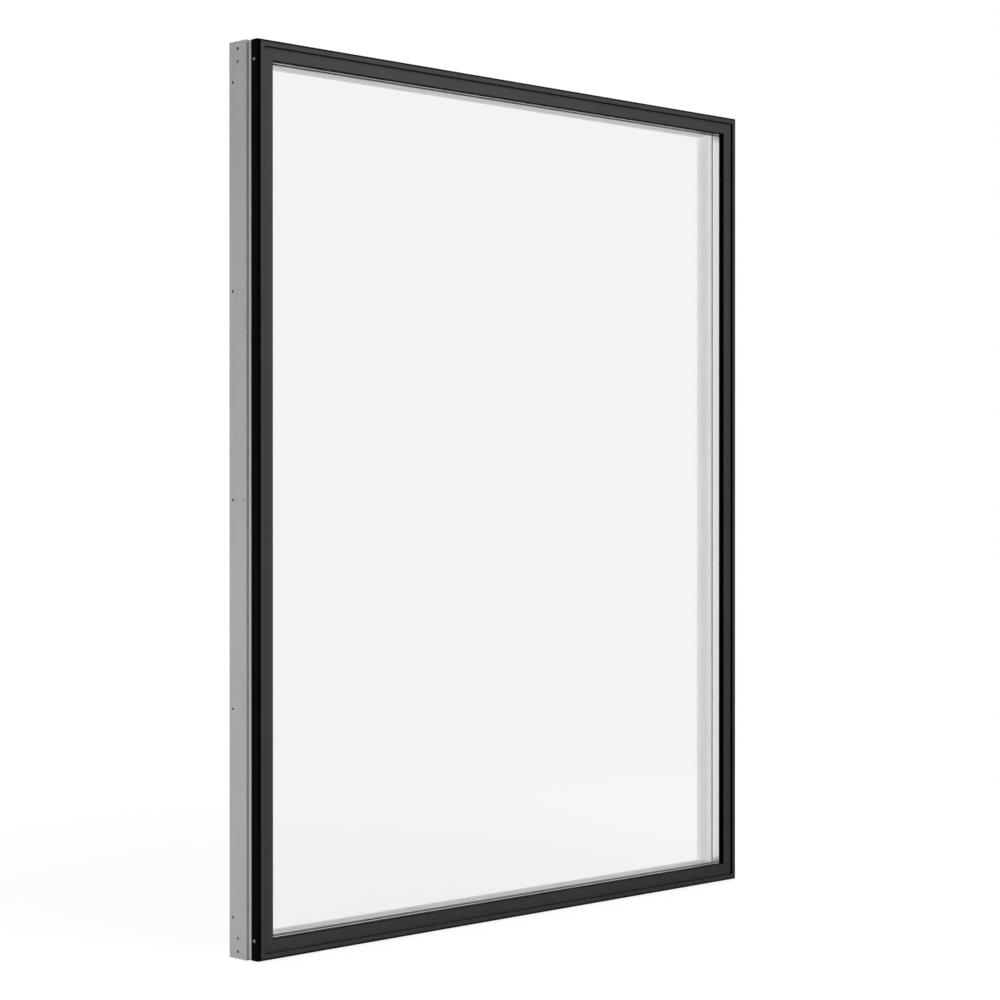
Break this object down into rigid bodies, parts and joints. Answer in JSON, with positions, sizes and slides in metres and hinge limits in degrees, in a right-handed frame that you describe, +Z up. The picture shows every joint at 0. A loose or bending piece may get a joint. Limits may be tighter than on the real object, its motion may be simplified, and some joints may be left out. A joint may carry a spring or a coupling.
{
  "type": "fixed fibreglass window",
  "caption": "Fixed fibreglass window with a black outer frame, a hollow grey frame behind it, white inner beads and a sealed double-glazed unit.",
  "frame": {"origin": "middle of the sill's underside, halfway through the frame's depth", "axes": "+Z up, +Y from outside into the room, +X to the right seen from outside"},
  "size_m": [1.2192, 0.0778, 1.524],
  "materials": {
    "exterior_black": "satin black paint on fibreglass",
    "frame_fibreglass": "matt grey outside, satin white towards the room",
    "interior_white": "satin white",
    "glass": "clear",
    "spacer_metal": "dull mill finish",
    "sealant": "matt",
    "tape": "matt",
    "rubber_block": "matt",
    "key_nylon": "moulded black"
  },
  "bodies": {
    "root": {"exterior_frame_left": "exterior_black", "exterior_frame_head": "exterior_black", "exterior_frame_right": "exterior_black", "exterior_frame_sill": "exterior_black", "exterior_stop_left": "exterior_black", "exterior_stop_head": "exterior_black", "exterior_stop_right": "exterior_black", "exterior_stop_sill": "exterior_black", "frame_head": "frame_fibreglass", "frame_sill": "frame_fibreglass", "left_jamb": "frame_fibreglass", "right_jamb": "frame_fibreglass", "interior_bead_left": "interior_white", "interior_bead_head": "interior_white", "interior_bead_right": "interior_white", "interior_bead_sill": "interior_white", "outer_pane": "glass", "inner_pane": "glass", "spacer_left": "spacer_metal", "spacer_head": "spacer_metal", "spacer_right": "spacer_metal", "spacer_sill": "spacer_metal", "edge_sealant": "sealant", "exterior_glazing_tape": "tape", "interior_glazing_tape": "tape", "setting_block_left": "rubber_block", "setting_block_right": "rubber_block", "corner_key_top_left": "key_nylon", "corner_key_top_right": "key_nylon", "corner_key_bottom_left": "key_nylon", "corner_key_bottom_right": "key_nylon"}
  },
  "joints": []
}
